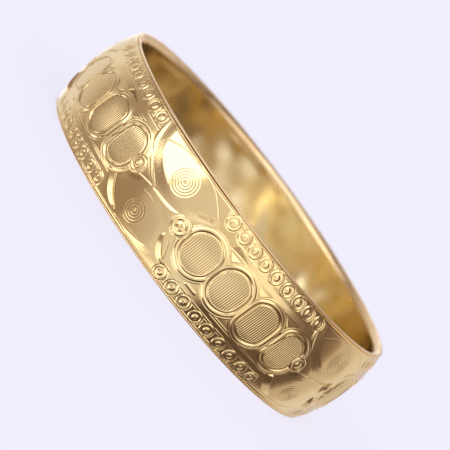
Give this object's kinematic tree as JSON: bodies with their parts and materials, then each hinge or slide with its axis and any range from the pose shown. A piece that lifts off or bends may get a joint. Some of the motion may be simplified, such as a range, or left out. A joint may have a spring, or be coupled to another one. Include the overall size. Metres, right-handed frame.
{
  "type": "bangle bracelet",
  "caption": "Closed round slip-on bangle: domed ornamented gold band over a plain inner sleeve, with edge wires at both rims.",
  "frame": {"origin": "centre of the bangle, on the axis of the wrist opening and halfway between the rims", "axes": "+Z along the axis of the wrist opening, out of the front rim; -Y points to the ornament's middle as worn facing the viewer; +X to the right of it"},
  "size_m": [0.0654, 0.0654, 0.0164],
  "materials": {
    "embossed_gold": "polished yellow gold, die-struck relief",
    "liner_gold": "polished yellow gold, softly wavy from wear",
    "wire_gold": "bright polished yellow gold"
  },
  "bodies": {
    "root": {"outer_shell": "embossed_gold", "inner_liner": "liner_gold", "front_edge_wire": "wire_gold", "rear_edge_wire": "wire_gold"}
  },
  "joints": []
}
